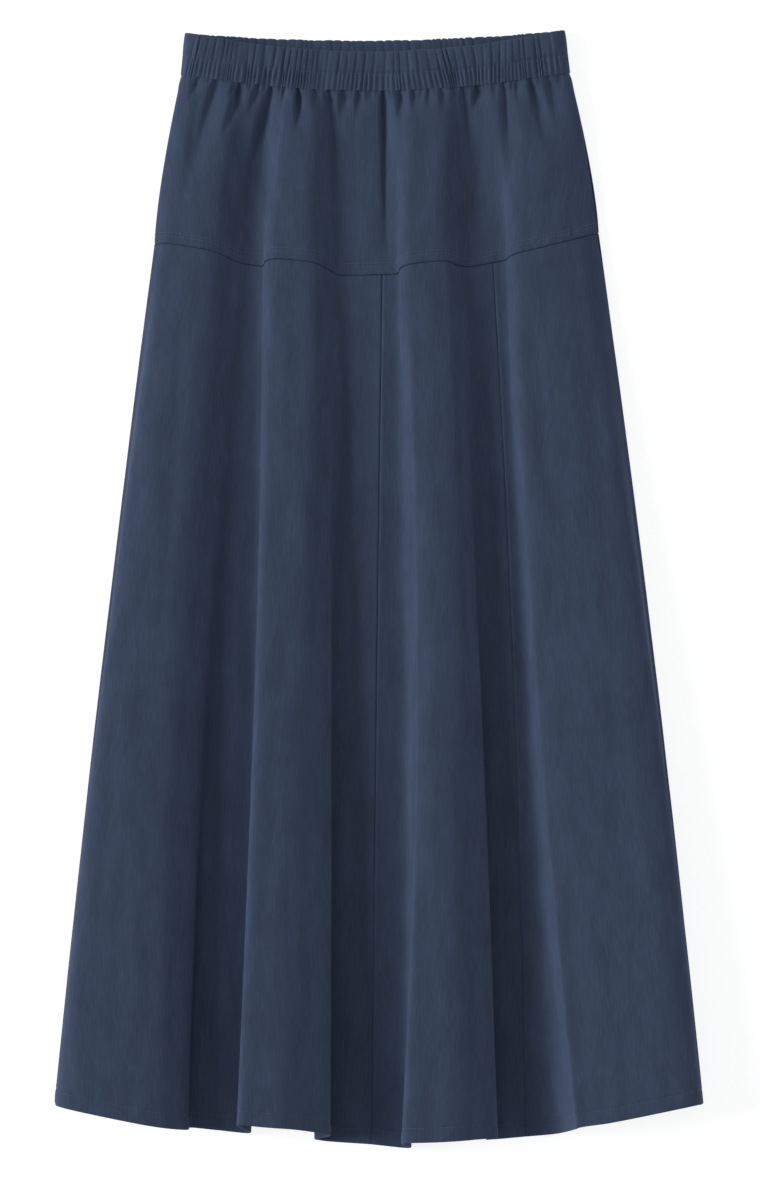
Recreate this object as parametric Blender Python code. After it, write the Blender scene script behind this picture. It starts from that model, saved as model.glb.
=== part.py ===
"""Long gored skirt with a hip yoke and an elastic waist, laid flat on a table with its front upwards.

Frame: metres, +Z up, with the table at Z = 0. +X is to the right of the front as it is seen from above,
+Y points to the waist, and the origin lies below the middle of the skirt. Every size and table here is in
millimetres.

The skirt is a tube. Its front lies on its back, and the flare of the eight gores stands in four soft
ridges with three valleys between them. A section across the tube is a row of stations that the fold
tables place, and a smooth curve joins them. Every piece of cloth is a stretch of such sections between
two seams, given a wall.
"""

from collections import namedtuple

import bmesh
import bpy
import numpy as np

MM = 0.001

# ---- Cloth ---------------------------------------------------------------------------------------------
CLOTH = 1.2  # wall of one layer
HEM_CLOTH = 2.0  # wall where the hem is turned up
HEM_TURN = 13.0  # depth of the turned hem
HEM_STEP = 1.5  # run over which the wall thickens to the hem
SEAM_GAP = 0.3  # between two pieces that are sewn together
SIDE_ROUND = 2.4  # first step of the front round the fold at a side seam

# ---- Sections down the skirt ---------------------------------------------------------------------------
# One row for each height: the two sides, how far the line between them sags in the middle of the front
# and of the back, how high the side seam lies, and how high the front lies in its valleys.
Level = namedtuple("Level", "left right left_y right_y sag back_sag side_z floor_z")
LEVELS = {
    "top": Level(-163.5, 156.5, 472, 474.3, 18, 7.5, 6.0, 9.2),
    "waist": Level(-167, 161, 436, 438, 15, 13, 6.0, 9.2),
    "seam": Level(-190, 186, 293, 302, 29, 29, 3.8, 3.8),
    "knee": Level(-235.5, 234, -73, -69, 32, 26, 3.4, 3.3),
    "hem": Level(-275, 275, -436, -437, 34, 20, 3.8, 4.8),
}
FOLD_LEVELS = ("waist", "seam", "knee", "hem")
HIP_EASE = 1.4  # above 1, the hips widen early on the way down the yoke

# ---- Folds of the front --------------------------------------------------------------------------------
# Each ridge stands on two feet. Its edges may overhang them, as they do at the hem. lift is how far the
# ridge draws the cloth up towards the waist. The outer ridges end at the side seams.
Ridge = namedtuple("Ridge", "foot_left left crown right foot_right height lift")
RIDGES = {
    "waist": (
        Ridge(-167, -167, -131, -111, -103, 2.6, 0),
        Ridge(-88, -81, -63, -48, -42, 2.6, 0),
        Ridge(11, 20, 49, 65, 71, 2.6, 0),
        Ridge(94, 101, 120, 161, 161, 2.6, 0),
    ),
    "seam": (
        Ridge(-190, -190, -150, -127, -118, 10, 5),
        Ridge(-103, -96, -66, -43, -35, 12, 7),
        Ridge(12, 19, 50, 66, 76, 12, 5),
        Ridge(105, 111, 132, 186, 186, 10, 1),
    ),
    "knee": (
        Ridge(-236, -236, -190, -149, -141, 20, 1),
        Ridge(-103, -105, -84, -40, -43, 26, 9),
        Ridge(16, 30, 54, 87, 85, 24, 5),
        Ridge(122, 131, 160, 234, 234, 19, 0),
    ),
    "hem": (
        Ridge(-275, -275, -196, -161, -160, 27, -3.5),
        Ridge(-110, -119, -99, -41, -52, 36, 12),
        Ridge(25, 19, 46, 101, 94, 34, 5),
        Ridge(150, 166, 196, 275, 275, 27, 0),
    ),
}
# A valley's lift is tilt more at its left end and tilt less at its right end.
Valley = namedtuple("Valley", "x rise lift tilt")
VALLEYS = {
    "waist": (Valley(-95, 0, 0, 0), Valley(3, 0, 0, 0), Valley(84, 0, 0, 0)),
    "seam": (Valley(-110, 0, 0, 0), Valley(3, 3, -2, 0), Valley(97, 0, -2, 0)),
    "knee": (Valley(-122, 0, 3, 0), Valley(-2, 1, 0, 1), Valley(115, 0, -1, 0)),
    "hem": (Valley(-138, 0, 5, 1), Valley(-6, 0, -1, 3), Valley(124, 0, -1, 0.5)),
}
# The outlines of a ridge, at the side seams and on its two flanks, as shares of the way from its edge to
# its crown and of its height. On the right flank the way is from the crown to the edge.
Flanks = namedtuple("Flanks", "side left right")
LOW_FLANKS = Flanks(((0.26, 0.40), (0.52, 0.66)), ((0.0, 0.46), (0.26, 0.84)), ((0.60, 0.80), (1.0, 0.40)))
FLANKS = {
    "waist": LOW_FLANKS,
    "seam": LOW_FLANKS,
    "knee": Flanks(((0.09, 0.62), (0.32, 0.90)), ((0.0, 0.60), (0.18, 0.92)), ((0.57, 0.85), (1.0, 0.48))),
    "hem": Flanks(((0.06, 0.70), (0.22, 0.95)), ((0.0, 0.70), (0.12, 0.96)), ((0.55, 0.88), (1.0, 0.52))),
}
FOOT_RISE = 1.7  # how far a foot stands above the valley

# ---- Seams of the back ---------------------------------------------------------------------------------
# The back rests flat on the table. These are the X of its seams at each level.
BackSeam = namedtuple("BackSeam", "name waist seam knee hem")
BACK_SEAMS = (
    BackSeam("right", 84, 104, 118, 128),
    BackSeam("centre", 0, 0, 0, 0),
    BackSeam("left", -93, -110, -122, -136),
)

# ---- Waistband -----------------------------------------------------------------------------------------
# One row for each height: the share of the way down, half the wall of the front, how far its gathers
# stand out of it, and how much of the skirt's folds it has. The third row is the line that stitches off
# the elastic's channel.
BandRow = namedtuple("BandRow", "share half relief folds")
BAND_ROWS = (
    BandRow(0.0, 1.02, 0.66, 0.5),
    BandRow(0.30, 1.50, 1.10, 0.6),
    BandRow(0.56, 1.08, 0.60, 0.8),
    BandRow(1.0, 0.90, 0.50, 1.0),
)
BACK_BAND_OUTSIDE = 1.2  # from the middle of the back's wall down to the table
BACK_BAND_INSIDE = 1.08  # and up to its other face
BACK_BAND_RELIEF = 0.6  # share of the front's relief that the back's gathers have
BAND_GATHERS = 46  # small upright gathers across each half of the waistband
BAND_SMOOTH_END = 0.04  # share of the band's width that has no gathers, at each side
# The gathers are unevenly spaced and unevenly deep. Each wave runs across the band this many times, moves
# or deepens them by its size, and starts at its phase.
Wave = namedtuple("Wave", "times size phase")
GATHER_SHIFTS = (Wave(3.3, 0.22, 0.0), Wave(11.0, 0.12, 1.0))
GATHER_DEPTH_WAVE = Wave(7.7, 0.28, 0.6)

# ---- Gathers below the waistband -----------------------------------------------------------------------
# Each row is one crease: where it leaves the band, how long it is, how far it leans on its way down, how
# deep it is and half its width.
Gather = namedtuple("Gather", "x length lean depth half_width")
GATHERS = (
    Gather(-153, 24, -9, 1.4, 3.0),
    Gather(-138, 95, -25, 2.2, 5.0),
    Gather(-118, 52, -16, 2.8, 3.2),
    Gather(-103, 30, -9, 1.8, 3.0),
    Gather(-91, 74, -18, 2.6, 5.0),
    Gather(-69, 52, 0, 2.8, 3.0),
    Gather(-55, 22, 1, 1.5, 2.8),
    Gather(-43, 74, 3, 2.8, 4.2),
    Gather(-31, 32, 0, 2.4, 4.0),
    Gather(-18, 26, 0, 1.8, 3.0),
    Gather(3, 132, 3, 2.8, 3.8),
    Gather(17, 30, 1, 1.6, 3.0),
    Gather(29, 24, 1, 1.5, 3.0),
    Gather(41, 20, 2, 1.3, 3.0),
    Gather(52, 24, 4, 1.5, 3.0),
    Gather(70, 78, 2, 2.8, 4.2),
    Gather(82, 28, 0, 2.4, 4.0),
    Gather(105, 88, 5, 2.4, 4.2),
    Gather(116, 22, 3, 1.5, 3.0),
    Gather(127, 46, 15, 2.4, 3.4),
    Gather(141, 22, 6, 1.5, 3.0),
    Gather(151, 16, 4, 1.2, 2.8),
)
GATHER_START = 0.35  # share of its depth that a gather has at the band's stitching
GATHER_PEAK = 0.22  # share of its length at which it is deepest
GATHER_SPREAD = 0.8  # how much wider it is at its lower end, as a share of its width
SMOOTH_SIDE = 3.0  # there are no gathers nearer to a side seam than this
WHOLE_SIDE = 13.0  # and from here on they are whole
BACK_GATHER_SHARE = 0.55  # the back lies on the table, so its gathers are lower and stand upwards

# ---- How finely each tier is divided -------------------------------------------------------------------
BAND_COLUMNS = BAND_GATHERS * 3
YOKE_PITCH = 3.7
YOKE_ROWS = (0.0, 0.06, 0.16, 0.30, 0.50, 0.75, 1.0)
GORE_ROWS = 13
LENGTH_ROWS = 3  # a front gore is made in lengths of this many rows
STATION_STEPS = 2
BAND_STEPS = 8
BACK_PARTS = 5  # how many stretches a step of the back has between two seams
SIDE_ARC_STEPS = 3
END_PULL = 6.0  # how far below its end points a section's curve is drawn, so that it leaves them upright
SHARP_EDGE = 50  # degrees between two faces from which their edge is drawn sharp

GORE_NAMES = ("side_left", "centre_left", "centre_right", "side_right")

NAVY = (0.043, 0.060, 0.103, 1.0)
CLOTH_ROUGHNESS = 0.92


# ---- Reading the tables between their levels -----------------------------------------------------------
def blend(first, second, share):
    """A share of the way between two rows of numbers."""
    return np.asarray(first, float) * (1 - share) + np.asarray(second, float) * share


def along_yoke(table, share):
    """Rows of a table at a share of the way from the waist to the yoke seam."""
    return blend(table["waist"], table["seam"], 1 - (1 - share) ** HIP_EASE)


def along_gores(table, share):
    """Rows of a table at a share of the way from the yoke seam to the hem, on a parabola through the knee."""
    seam, knee, hem = (np.asarray(table[name], float) for name in ("seam", "knee", "hem"))
    return (
        seam * (1 - share) * (1 - 2 * share)
        + knee * 4 * share * (1 - share)
        + hem * share * (2 * share - 1)
    )


def along_band(table, share):
    """Rows of a table at a share of the way down the waistband, which keeps the folds of the waist."""
    return blend(table.get("top", table["waist"]), table["waist"], share)


def level_line(level, x, back=False):
    """Y of the sagging line that joins the two sides of a level, at each x."""
    centre, half = (level.left + level.right) / 2, (level.right - level.left) / 2
    across = np.clip((np.asarray(x) - centre) / half, -1, 1)
    sides = level.left_y + (level.right_y - level.left_y) * (across + 1) / 2
    return sides - (level.back_sag if back else level.sag) * (1 - across**2)


# ---- Sections of the front -----------------------------------------------------------------------------
def smooth_curve(points, steps):
    """A centripetal Catmull-Rom curve through points, each stretch divided into steps. It meets its end
    points along the Z axis, as cloth does where it turns round a side seam."""
    below = np.array([0.0, 0.0, END_PULL])
    ends = np.vstack([points[0] - below, points, points[-1] - below])
    run = [points[0]]
    for a, b, c, d in zip(ends, ends[1:], ends[2:], ends[3:]):
        spans = [np.linalg.norm(q - p) ** 0.5 + 1e-9 for p, q in ((a, b), (b, c), (c, d))]
        k = np.cumsum([0.0] + spans)
        for t in np.linspace(k[1], k[2], steps + 1)[1:]:
            ab, bc, cd = (
                (q * (t - k[i]) + p * (k[i + 1] - t)) / (k[i + 1] - k[i])
                for i, (p, q) in enumerate(((a, b), (b, c), (c, d)))
            )
            abc = (bc * (t - k[0]) + ab * (k[2] - t)) / (k[2] - k[0])
            bcd = (cd * (t - k[1]) + bc * (k[3] - t)) / (k[3] - k[1])
            run.append((bcd * (t - k[1]) + abc * (k[2] - t)) / (k[2] - k[1]))
    return np.array(run)


def side_stations(side_x, inward, level, ridge, crown_z, flank):
    """The stations from a side seam up to the crown of the outer ridge beside it."""
    turned_z = level.side_z + SIDE_ROUND
    rows = [(side_x, level.side_z, 0), (side_x + inward * SIDE_ROUND, turned_z, 0)]
    for share, rise in flank:
        z = turned_z + rise * (crown_z - turned_z)
        rows.append((side_x + share * (ridge.crown - side_x), z, ridge.lift * rise))
    return rows


def front_stations(ridges, valleys, flanks, level, folds=1.0):
    """The stations of one section, left to right: x, z and lift. Also the numbers of the stations at the
    three seams of the front. folds is the share of their height that the folds have."""
    floor, foot = level.floor_z, FOOT_RISE * folds
    rows, seams = [], []
    last = len(ridges) - 1
    for number, ridge in enumerate(Ridge(*row) for row in ridges):
        height = ridge.height * folds
        if number == 0:
            rows += side_stations(level.left, 1, level, ridge, floor + height, flanks.side)
        else:
            valley = Valley(*valleys[number - 1])
            if number == 1:
                seams.append(len(rows))
            lift = valley.lift - valley.tilt
            rows.append((ridge.foot_left, floor + foot + valley.rise, lift))
            for share, rise in flanks.left:
                x = ridge.left + share * (ridge.crown - ridge.left)
                z = floor + valley.rise * (1 - share) + rise * height
                rows.append((x, z, lift + (ridge.lift - lift) * rise))
        rows.append((ridge.crown, floor + height, ridge.lift))
        if number == last:
            rows += side_stations(level.right, -1, level, ridge, floor + height, flanks.side)[::-1]
        else:
            valley = Valley(*valleys[number])
            lift = valley.lift + valley.tilt
            for share, rise in flanks.right:
                x = ridge.crown + share * (ridge.right - ridge.crown)
                rows.append((x, floor + rise * height, lift + (ridge.lift - lift) * rise))
            rows.append((ridge.foot_right, floor + foot, lift))
            if number:
                seams.append(len(rows))
            rows.append((valley.x, floor + valley.rise, valley.lift))
    return np.array(rows), seams


def straight_y(x, level, share, upper, lower, back=False):
    """Y of a section at each x. Between the two levels that bound a tier, every point runs straight."""
    across = (x - (level.left + level.right) / 2) / (level.right - level.left)
    ends = []
    for bound in (upper, lower):
        bound_x = (bound.left + bound.right) / 2 + across * (bound.right - bound.left)
        ends.append(level_line(bound, bound_x, back))
    return ends[0] * (1 - share) + ends[1] * share


def front_section(tier, share, upper, lower, steps, folds=1.0):
    """One section of the front as points, and the point numbers of its seams. upper and lower are the
    levels that bound the tier."""
    level = Level(*tier(LEVELS, share))
    flanks = Flanks(*tier(FLANKS, share))
    rows, seams = front_stations(tier(RIDGES, share), tier(VALLEYS, share), flanks, level, folds)
    y = straight_y(rows[:, 0], level, share, upper, lower) + rows[:, 2]
    curve = smooth_curve(np.column_stack([rows[:, 0], y, rows[:, 1]]), steps)
    return curve, [seam * steps for seam in seams]


# ---- Sections of the back ------------------------------------------------------------------------------
def back_section(tier, share, upper, lower, steps, rest=CLOTH / 2):
    """One section of the back, right to left, as points, and the point numbers of its seams. It rests on
    the table, with the middle of its wall at the height rest, and turns up to the side seams at both
    ends."""
    level = Level(*tier(LEVELS, share))
    seam_table = {name: [[getattr(row, name)] for row in BACK_SEAMS] for name in FOLD_LEVELS}
    radius = level.side_z - rest
    marks = [level.right - radius, *tier(seam_table, share)[:, 0], level.left + radius]
    parts = BACK_PARTS * steps
    stretches = [np.linspace(a, b, parts, endpoint=False) for a, b in zip(marks, marks[1:])]
    flat = np.concatenate([*stretches, marks[-1:]])
    turn = np.linspace(0, np.pi / 2, SIDE_ARC_STEPS + 1)[:-1]
    inward, turn_z = radius * (1 - np.cos(turn)), level.side_z - radius * np.sin(turn)
    x = np.concatenate([level.right - inward, flat, (level.left + inward)[::-1]])
    y = straight_y(x, level, share, upper, lower, back=True)
    points = np.column_stack([x, y, np.concatenate([turn_z, np.full(len(flat), rest), turn_z[::-1]])])
    return points, [len(turn) + parts * number for number in range(1, len(marks) - 1)]


# ---- Tiers of the tube ---------------------------------------------------------------------------------
def even_columns(section, count):
    """Where count even stretches along a section begin and end, as fractional point numbers."""
    run = np.concatenate([[0], np.cumsum(np.linalg.norm(np.diff(section, axis=0), axis=1))])
    return np.interp(np.linspace(0, run[-1], count + 1), run, np.arange(len(run)))


def finer_columns(section, pitch):
    """Fractional numbers of all points of a section, and of even steps of about a pitch between them."""
    spans = np.linalg.norm(np.diff(section, axis=0), axis=1)
    parts = np.maximum(1, np.round(spans / pitch)).astype(int)
    stretches = [number + np.arange(count) / count for number, count in enumerate(parts)]
    return np.concatenate([*stretches, [len(parts)]])


def at_columns(section, columns):
    """Points of a section at fractional point numbers."""
    numbers = np.arange(len(section))
    return np.column_stack([np.interp(columns, numbers, section[:, axis]) for axis in range(3)])


def ring_normals(front, back):
    """Outward unit normals of a tube, whose front and back are grids of rows that share their side points."""
    ring = np.concatenate([front, back[:, 1:-1]], axis=1)
    around = np.roll(ring, -1, axis=1) - np.roll(ring, 1, axis=1)
    down = np.gradient(ring, axis=0)
    normals = np.cross(down, around)
    normals[0, :, 1] = normals[-1, :, 1] = 0  # the faces along the seams stay upright, which keeps their gap
    normals /= np.linalg.norm(normals, axis=2, keepdims=True)
    split = front.shape[1]
    back_normals = np.concatenate([normals[:, split - 1 :], normals[:, :1]], axis=1)
    return normals[:, :split], back_normals


def inland(row):
    """How much of a gather is left at each point of a row. There are none at the side seams."""
    from_sides = np.minimum(np.abs(row[:, 0] - row[0, 0]), np.abs(row[:, 0] - row[-1, 0]))
    return np.clip((from_sides - SMOOTH_SIDE) / (WHOLE_SIDE - SMOOTH_SIDE), 0, 1)


def gather_depth(x, run):
    """How deep the creases below the waistband are at x, run millimetres below it."""
    depth = np.zeros_like(x)
    for gather in GATHERS:
        along = np.clip(run / gather.length, 0, 1)
        opening = GATHER_START + (1 - GATHER_START) * np.clip(along / GATHER_PEAK, 0, 1)
        fading = np.cos(np.pi / 2 * np.clip((along - GATHER_PEAK) / (1 - GATHER_PEAK), 0, 1)) ** 2
        centre = gather.x + gather.lean * along
        width = gather.half_width * (1 + GATHER_SPREAD * along)
        depth += gather.depth * opening * fading * np.exp(-(((x - centre) / width) ** 2))
    return depth


def wave_at(wave, along):
    """A wave's value at shares of the way across the band."""
    return wave.size * np.sin(2 * np.pi * wave.times * along + wave.phase)


def band_gathers():
    """How much of their relief the waistband's upright gathers have at each column. They stop short of
    the side seams, where the band is smooth."""
    along = np.linspace(0, 1, BAND_COLUMNS + 1)
    turns = BAND_GATHERS * along + sum(wave_at(wave, along) for wave in GATHER_SHIFTS)
    strength = 1 - GATHER_DEPTH_WAVE.size + wave_at(GATHER_DEPTH_WAVE, along)
    smooth_ends = np.clip(np.minimum(along, 1 - along) / BAND_SMOOTH_END, 0, 1)
    return (1 + np.cos(2 * np.pi * turns)) / 2 * strength * smooth_ends


# ---- Walls ---------------------------------------------------------------------------------------------
def cloth_material(name, colour):
    """Matt woven cloth."""
    material = bpy.data.materials.new(name)
    material.use_nodes = True
    shader = material.node_tree.nodes["Principled BSDF"]
    shader.inputs["Base Color"].default_value = colour
    shader.inputs["Roughness"].default_value = CLOTH_ROUGHNESS
    shader.inputs["Metallic"].default_value = 0.0
    material.diffuse_color = colour
    return material


def draw_back(piece, edge, inner):
    """Moves the end column of a piece towards the next one by half the seam's gap."""
    away = piece[:, inner] - piece[:, edge]
    piece[:, edge] += away / np.linalg.norm(away, axis=1, keepdims=True) * SEAM_GAP / 2


def open_seam(points, first, last):
    """The columns of a piece from seam to seam, drawn back by half the seam's gap at both ends."""
    piece = points[:, first : last + 1].copy()
    draw_back(piece, 0, 1)
    draw_back(piece, -1, -2)
    return piece


def wall(name, middle, normals, outside, inside):
    """One closed piece of cloth. middle is its grid of points, and outside and inside are how far its two
    faces stand from them along the normals."""
    outer = middle + normals * np.asarray(outside)[..., None]
    inner = middle - normals * np.asarray(inside)[..., None]
    rows, columns = middle.shape[:2]
    mesh = bmesh.new()
    faces = [[[mesh.verts.new(point * MM) for point in row] for row in skin] for skin in (outer, inner)]
    top, under = faces
    for r in range(rows - 1):
        for c in range(columns - 1):
            mesh.faces.new((top[r][c], top[r + 1][c], top[r + 1][c + 1], top[r][c + 1]))
            mesh.faces.new((under[r][c], under[r][c + 1], under[r + 1][c + 1], under[r + 1][c]))
    for r in range(rows - 1):
        mesh.faces.new((top[r][0], under[r][0], under[r + 1][0], top[r + 1][0]))
        mesh.faces.new((top[r][-1], top[r + 1][-1], under[r + 1][-1], under[r][-1]))
    for c in range(columns - 1):
        mesh.faces.new((top[0][c], top[0][c + 1], under[0][c + 1], under[0][c]))
        mesh.faces.new((top[-1][c], under[-1][c], under[-1][c + 1], top[-1][c + 1]))
    bmesh.ops.recalc_face_normals(mesh, faces=mesh.faces)
    data = bpy.data.meshes.new(name)
    mesh.to_mesh(data)
    mesh.free()
    data.shade_smooth()
    data.set_sharp_from_angle(angle=np.radians(SHARP_EDGE))
    data.materials.append(cloth_material(name, NAVY))
    piece = bpy.data.objects.new(name, data)
    bpy.context.scene.collection.objects.link(piece)
    return piece


def wall_in_lengths(name, piece, normals, outside, inside, marks):
    """One panel as several walls, from each row in marks to the next, with the seam's gap between them.
    Each bends round less of the hollow under it than the whole panel would."""
    for number, (top, end) in enumerate(zip(marks, marks[1:]), start=1):
        rows = slice(top, end + 1)
        length = piece[rows].copy()
        turned = length.transpose(1, 0, 2)
        if top > marks[0]:
            draw_back(turned, 0, 1)
        if end < marks[-1]:
            draw_back(turned, -1, -2)
        wall(f"{name}_{number}", length, normals[rows], outside[rows], inside[rows])


def lower_edge(level):
    """The level just above a seam across the skirt, short of it by the seam's gap."""
    return level._replace(left_y=level.left_y + SEAM_GAP, right_y=level.right_y + SEAM_GAP)


# ---- Pieces --------------------------------------------------------------------------------------------
def make_waistband():
    """Front and back halves of the waistband: a channel for the elastic over a stitched strip."""
    upper, lower = LEVELS["top"], lower_edge(LEVELS["waist"])
    front, back = [], []
    for row in BAND_ROWS:
        front.append(front_section(along_band, row.share, upper, lower, BAND_STEPS, row.folds)[0])
        back.append(back_section(along_band, row.share, upper, lower, BAND_STEPS, BACK_BAND_OUTSIDE)[0])
    for half in (front, back):
        columns = even_columns(half[-1], BAND_COLUMNS)
        half[:] = [at_columns(section, columns) for section in half]
    front, back = np.array(front), np.array(back)
    front_normals, back_normals = ring_normals(front, back)
    relief = np.outer([row.relief for row in BAND_ROWS], band_gathers())
    wall_half = np.broadcast_to(np.array([[row.half] for row in BAND_ROWS]), relief.shape)
    front, back = (open_seam(points, 0, BAND_COLUMNS) for points in (front, back))
    wall("waistband_front", front, front_normals, wall_half + relief, wall_half)
    outside = np.full(relief.shape, BACK_BAND_OUTSIDE)
    inside = BACK_BAND_INSIDE + relief[:, ::-1] * BACK_BAND_RELIEF
    wall("waistband_back", back, back_normals, outside, inside)


def make_yoke():
    """Front and back hip yokes, gathered into the waistband."""
    upper, lower = LEVELS["waist"], lower_edge(LEVELS["seam"])
    tube = []
    for section in (front_section, back_section):
        rows = [section(along_yoke, share, upper, lower, STATION_STEPS)[0] for share in YOKE_ROWS]
        columns = finer_columns(rows[0], YOKE_PITCH)
        tube.append(np.array([at_columns(row, columns) for row in rows]))
    front, back = tube
    depth = upper.left_y - lower.left_y
    for row, share in enumerate(YOKE_ROWS):
        down = share * depth
        front[row, :, 2] -= gather_depth(front[row, :, 0], down) * inland(front[row])
        back[row, :, 2] += gather_depth(-back[row, :, 0], down) * inland(back[row]) * BACK_GATHER_SHARE
    front_normals, back_normals = ring_normals(front, back)
    half = np.full(back.shape[:2], CLOTH / 2)
    wall("yoke_back", open_seam(back, 0, back.shape[1] - 1), back_normals, half, half)
    marks = np.linspace(0, front.shape[1] - 1, len(GORE_NAMES) + 1).round().astype(int)
    for name, first, last in zip(GORE_NAMES, marks, marks[1:]):
        out = front_normals[:, first : last + 1]
        half = np.full(out.shape[:2], CLOTH / 2)
        wall(f"yoke_front_{name}", open_seam(front, first, last), out, half, half)


def make_gores():
    """The eight gores of the flared part, with their hems."""
    upper, lower = LEVELS["seam"], LEVELS["hem"]
    length = upper.left_y - lower.left_y
    turn = 1 - HEM_TURN / length
    shares = list(np.linspace(0, 1, GORE_ROWS)[:-1]) + [turn - HEM_STEP / length, turn, 1.0]
    sections = [front_section(along_gores, share, upper, lower, STATION_STEPS) for share in shares]
    front, front_seams = np.array([section for section, _ in sections]), sections[0][1]
    sections = [back_section(along_gores, share, upper, lower, STATION_STEPS) for share in shares]
    back, back_seams = np.array([section for section, _ in sections]), sections[0][1]
    front_normals, back_normals = ring_normals(front, back)
    thickness = np.array([CLOTH] * GORE_ROWS + [HEM_CLOTH] * 2)
    length_marks = [*range(0, GORE_ROWS - 1, LENGTH_ROWS), len(shares) - 1]
    sides = (
        ("front", GORE_NAMES, front, front_normals, front_seams),
        ("back", GORE_NAMES[::-1], back, back_normals, back_seams),
    )
    for side, names, points, normals, seams in sides:
        bounds = [0, *seams, points.shape[1] - 1]
        for name, first, last in zip(names, bounds, bounds[1:]):
            shape = (len(shares), last + 1 - first)
            outside = np.full(shape, CLOTH / 2)
            inside = np.broadcast_to((thickness - CLOTH / 2)[:, None], shape)
            piece, out = open_seam(points, first, last), normals[:, first : last + 1]
            if side == "front":
                wall_in_lengths(f"gore_front_{name}", piece, out, outside, inside, length_marks)
            else:
                wall(f"gore_back_{name}", piece, out, outside, inside)


def main():
    for thing in list(bpy.data.objects):
        bpy.data.objects.remove(thing)
    make_waistband()
    make_yoke()
    make_gores()


main()
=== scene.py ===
"""Looks of a long gored skirt with a hip yoke and an elastic waist, laid flat with its front upwards.

Frame: the solids' own, in metres, +Z up, with the table at Z = 0. +X is to the right of the front as it is
seen from above, and +Y points to the waist. Every size in the tables is in millimetres.

Each panel is a thin closed shell of cloth on the form of its solid. The sections that the fold tables give
are drawn finely, and the gathers, creases, seams and rumples stand out of them along the normals.
"""

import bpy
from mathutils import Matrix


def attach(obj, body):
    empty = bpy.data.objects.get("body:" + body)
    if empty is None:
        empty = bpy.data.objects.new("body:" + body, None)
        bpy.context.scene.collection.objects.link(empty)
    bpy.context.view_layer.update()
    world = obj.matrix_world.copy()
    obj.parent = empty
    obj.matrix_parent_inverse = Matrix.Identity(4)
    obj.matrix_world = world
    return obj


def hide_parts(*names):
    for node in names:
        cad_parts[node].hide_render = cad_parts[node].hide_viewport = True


bl_info = {
    "name": "Gored skirt",
    "version": (1, 0, 0),
    "blender": (4, 5, 0),
    "location": "3D View > Sidebar > Skirt",
    "description": "A long gored skirt lying flat, with its gathers, folds, seams and woven cloth",
    "category": "Add Mesh",
}

from collections import namedtuple

import bpy
import numpy as np
from bpy.props import FloatProperty, FloatVectorProperty, PointerProperty

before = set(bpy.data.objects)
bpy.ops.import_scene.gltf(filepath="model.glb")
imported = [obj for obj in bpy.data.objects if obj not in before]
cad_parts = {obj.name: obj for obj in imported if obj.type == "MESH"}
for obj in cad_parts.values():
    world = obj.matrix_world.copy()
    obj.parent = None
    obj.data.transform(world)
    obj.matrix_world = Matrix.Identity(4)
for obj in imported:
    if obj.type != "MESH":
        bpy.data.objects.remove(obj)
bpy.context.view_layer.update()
MM = 0.001

# ---- Form of the skirt, as the solids have it ----
# One row for each height: its two sides, how far the line between them sags in the front and in the back,
# and how high the side seams and the floors of the valleys lie.
Level = namedtuple("Level", "left right left_y right_y sag back_sag side_z floor_z")
LEVELS = {
    "top": Level(-163.5, 156.5, 472, 474.3, 18, 7.5, 6.0, 9.2),
    "waist": Level(-167, 161, 436, 438, 15, 13, 6.0, 9.2),
    "seam": Level(-190, 186, 293, 302, 29, 29, 3.8, 3.8),
    "knee": Level(-235.5, 234, -73, -69, 32, 26, 3.4, 3.3),
    "hem": Level(-275, 275, -436, -437, 34, 20, 3.8, 4.8),
}
BAND_LONG = LEVELS["top"].left_y - LEVELS["waist"].left_y
YOKE_LONG = LEVELS["waist"].left_y - LEVELS["seam"].left_y
GORES_LONG = LEVELS["seam"].left_y - LEVELS["hem"].left_y
HIP_EASE = 1.4  # above 1, the hips widen early on the way down the yoke
Ridge = namedtuple("Ridge", "foot_left left crown right foot_right height lift")
RIDGES = {
    "waist": (
        (-167, -167, -131, -111, -103, 2.6, 0),
        (-88, -81, -63, -48, -42, 2.6, 0),
        (11, 20, 49, 65, 71, 2.6, 0),
        (94, 101, 120, 161, 161, 2.6, 0),
    ),
    "seam": (
        (-190, -190, -150, -127, -118, 10, 5),
        (-99, -96, -66, -43, -35, 12, 7),
        (16, 18.5, 50, 66, 76, 12, 5),
        (108, 110.5, 132, 186, 186, 10, 1),
    ),
    "knee": (
        (-236, -236, -190, -149, -141, 20, 1),
        (-103, -105, -84, -40, -43, 26, 9),
        (22, 29, 54, 87, 85, 24, 5),
        (126, 131, 160, 234, 234, 19, 0),
    ),
    "hem": (
        (-275, -275, -196, -161, -160, 27, 1.5),
        (-110, -119, -99, -41, -52, 36, 14.5),
        (25, 19, 46, 101, 94, 34, 5),
        (151, 164, 196, 275, 275, 27, 4.5),
    ),
}
Valley = namedtuple("Valley", "x rise lift tilt")
VALLEYS = {
    "waist": ((-95, 0, 0, 0), (3, 0, 0, 0), (84, 0, 0, 0)),
    "seam": ((-110, 0, 0, 0), (3, 3, -2, 0), (97, 0, -2, 0)),
    "knee": ((-122, 0, 3, 0), (-2, 1, 0, 1), (115, 0, -1, 0)),
    "hem": ((-138, 0, 2.5, -0.8), (-6, 0, -1, 3), (124, 0, -1, 0.5)),
}
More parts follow.
